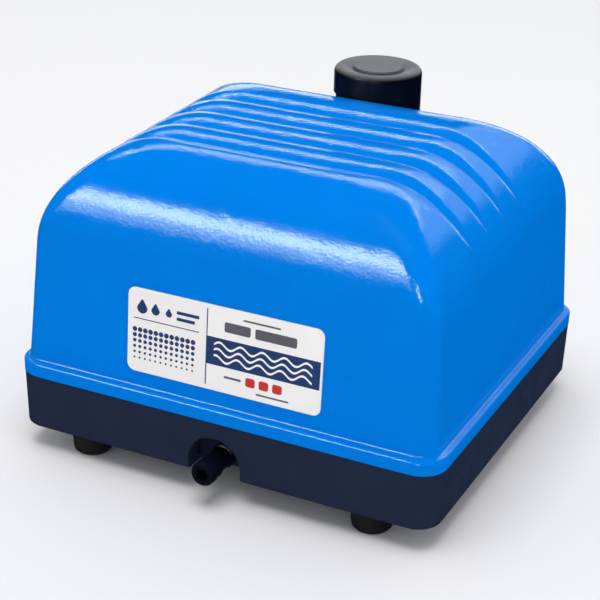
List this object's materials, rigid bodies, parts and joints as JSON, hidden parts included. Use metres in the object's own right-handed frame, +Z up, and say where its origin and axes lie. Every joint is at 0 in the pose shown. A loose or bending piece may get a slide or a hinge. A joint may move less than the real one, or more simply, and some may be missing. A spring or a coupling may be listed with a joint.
{
  "type": "air pump",
  "caption": "Box-shaped diaphragm air pump with a ribbed, rounded painted cover on a dark base tray, a lift-off intake filter cap behind and a barbed outlet nozzle at the front.",
  "frame": {"origin": "on the ground plane, under the middle of the case", "axes": "+Z up, +X to the right seen from the front, +Y to the rear; the outlet nozzle points along -Y"},
  "size_m": [0.2, 0.1998, 0.1511],
  "materials": {
    "cover_paint": "glossy enamel with a fine orange peel",
    "name_plate": "printed film, satin",
    "tray_plastic": "satin, finely textured",
    "gasket_rubber": "matt",
    "cover_screw_steel": "zinc plated",
    "foot_screw_steel": "zinc plated",
    "nozzle_plastic": "satin",
    "seal_rubber": "matt",
    "tank_plastic": "satin",
    "inner_screw_steel": "zinc plated",
    "gland_plastic": "satin",
    "terminal_plastic": "satin",
    "terminal_brass": "bright",
    "seat_plastic": "satin",
    "filter_foam": "open cell foam",
    "cap_plastic": "satin, finely textured",
    "frame_aluminium": "cast",
    "core_steel": "laminated sheet",
    "bobbin_plastic": "satin",
    "coil_copper": "enamelled wire",
    "armature_steel": "machined",
    "magnet_ferrite": "sintered",
    "stud_steel": "turned",
    "disc_aluminium": "turned",
    "keeper_plastic": "satin",
    "foot_rubber": "matt",
    "damper_rubber": "matt",
    "diaphragm_rubber": "matt",
    "head_aluminium": "die cast",
    "flap_rubber": "matt",
    "hose_rubber": "matt"
  },
  "bodies": {
    "case": {"upper_cover": "cover_paint", "front_label": "name_plate", "base_tray": "tray_plastic", "case_gasket": "gasket_rubber", "cover_screws": "cover_screw_steel", "foot_screws": "foot_screw_steel", "outlet_nozzle": "nozzle_plastic", "nozzle_seal": "seal_rubber", "tank_lid": "tank_plastic", "tank_lid_screws": "inner_screw_steel", "cable_gland": "gland_plastic", "gland_locknut": "gland_plastic", "terminal_block": "terminal_plastic", "terminal_screws": "terminal_brass", "filter_seat": "seat_plastic", "seat_screws": "inner_screw_steel", "foam_filter": "filter_foam", "pump_frame": "frame_aluminium", "damper_screws": "inner_screw_steel", "core_front": "core_steel", "core_rear": "core_steel", "bobbin_front": "bobbin_plastic", "bobbin_rear": "bobbin_plastic", "coil_front": "coil_copper", "coil_rear": "coil_copper", "core_screws": "inner_screw_steel", "flap_keepers": "keeper_plastic", "head_screws": "inner_screw_steel", "foot_front_left": "foot_rubber", "foot_front_right": "foot_rubber", "foot_rear_left": "foot_rubber", "foot_rear_right": "foot_rubber", "damper_front_left": "damper_rubber", "damper_front_right": "damper_rubber", "damper_rear_left": "damper_rubber", "damper_rear_right": "damper_rubber", "diaphragm_left": "diaphragm_rubber", "pump_head_left": "head_aluminium", "head_cover_left": "head_aluminium", "air_hose_left": "hose_rubber", "diaphragm_right": "diaphragm_rubber", "pump_head_right": "head_aluminium", "head_cover_right": "head_aluminium", "air_hose_right": "hose_rubber"},
    "armature": {"armature": "armature_steel", "magnet_left": "magnet_ferrite", "magnet_right": "magnet_ferrite", "armature_studs": "stud_steel", "clamp_discs": "disc_aluminium", "stud_nuts": "stud_steel"},
    "cap": {"filter_cap": "cap_plastic"},
    "left_inlet_valve": {"inlet_flap_left": "flap_rubber"},
    "right_inlet_valve": {"inlet_flap_right": "flap_rubber"},
    "left_outlet_valve": {"outlet_flap_left": "flap_rubber"},
    "right_outlet_valve": {"outlet_flap_right": "flap_rubber"}
  },
  "joints": [
    {"name": "armature_slide", "type": "slide", "parent": "case", "child": "armature", "axis": [1, 0, 0], "range_m": [-0.002, 0.002], "stiffness_N_per_m": 20000, "deforming": ["diaphragm_left", "diaphragm_right"]},
    {"name": "cap_lift", "type": "slide", "parent": "case", "child": "cap", "axis": [0, 0, 1], "range_m": [0, 0.03]},
    {"name": "left_inlet_flap_hinge", "type": "hinge", "parent": "case", "child": "left_inlet_valve", "pos_m": [-0.0575, 0, 0.102], "axis": [0, -1, 0], "range_deg": [0, 10], "stiffness_Nm_per_rad": 0.0005},
    {"name": "left_outlet_flap_hinge", "type": "hinge", "parent": "case", "child": "left_outlet_valve", "pos_m": [-0.0625, 0, 0.062], "axis": [0, -1, 0], "range_deg": [0, 10], "stiffness_Nm_per_rad": 0.0005},
    {"name": "right_inlet_flap_hinge", "type": "hinge", "parent": "case", "child": "right_inlet_valve", "pos_m": [0.0575, 0, 0.102], "axis": [0, 1, 0], "range_deg": [0, 10], "stiffness_Nm_per_rad": 0.0005},
    {"name": "right_outlet_flap_hinge", "type": "hinge", "parent": "case", "child": "right_outlet_valve", "pos_m": [0.0625, 0, 0.062], "axis": [0, 1, 0], "range_deg": [0, 10], "stiffness_Nm_per_rad": 0.0005}
  ]
}
